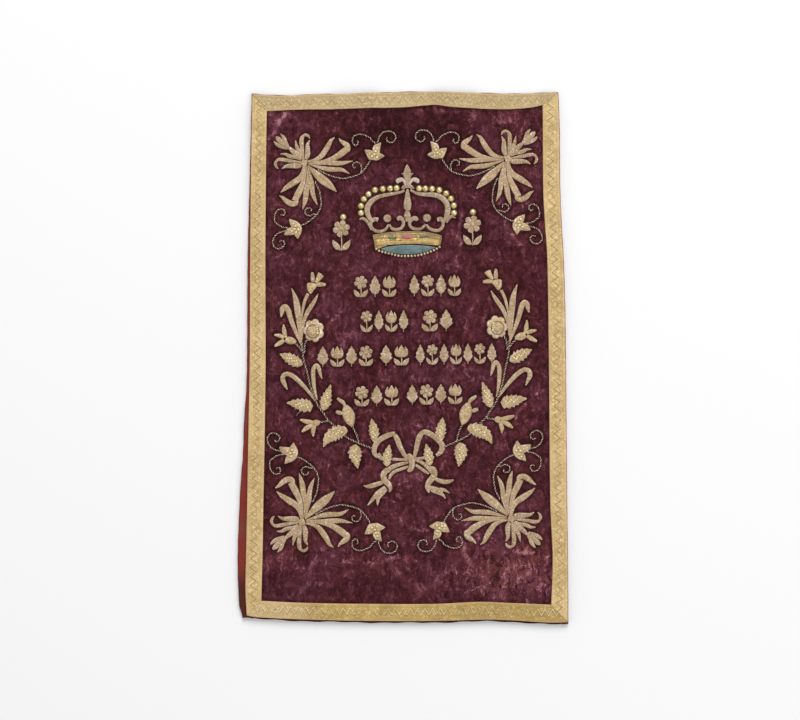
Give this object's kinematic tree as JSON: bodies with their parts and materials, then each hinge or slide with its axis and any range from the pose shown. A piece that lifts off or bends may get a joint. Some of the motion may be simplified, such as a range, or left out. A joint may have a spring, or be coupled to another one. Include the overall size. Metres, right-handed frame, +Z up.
{
  "type": "torah mantle",
  "caption": "Flat sleeve-shaped velvet cover for a scroll, with a gold braid border, raised gold sprays, crown, wreath and bow, open at the hem and gapped at the top seam.",
  "frame": {"origin": "under the middle of the mantle, on the surface it lies on", "axes": "+X to the right of the decorated face, +Y towards its top seam, +Z up from the surface through the decorated face"},
  "size_m": [0.4963, 0.8, 0.0127],
  "materials": {
    "back_cloth": "plain red cotton cloth",
    "velvet": "worn burgundy silk velvet",
    "gold_braid": "woven gold metal-thread braid",
    "gold_thread": "gold metal thread laid over padding",
    "yellow_gold": "bright yellow gold thread",
    "blue_satin": "pale blue satin stitch"
  },
  "bodies": {
    "root": {"back_panel": "back_cloth", "front_panel": "velvet", "braid_left": "gold_braid", "braid_right": "gold_braid", "braid_top": "gold_braid", "braid_hem": "gold_braid", "spray_top_left": "gold_thread", "spray_top_right": "gold_thread", "spray_bottom_left": "gold_thread", "spray_bottom_right": "gold_thread", "crown_frame": "gold_thread", "crown_band": "yellow_gold", "crown_cap": "blue_satin", "wreath_left": "gold_thread", "wreath_right": "gold_thread", "bow": "gold_thread"}
  },
  "joints": []
}
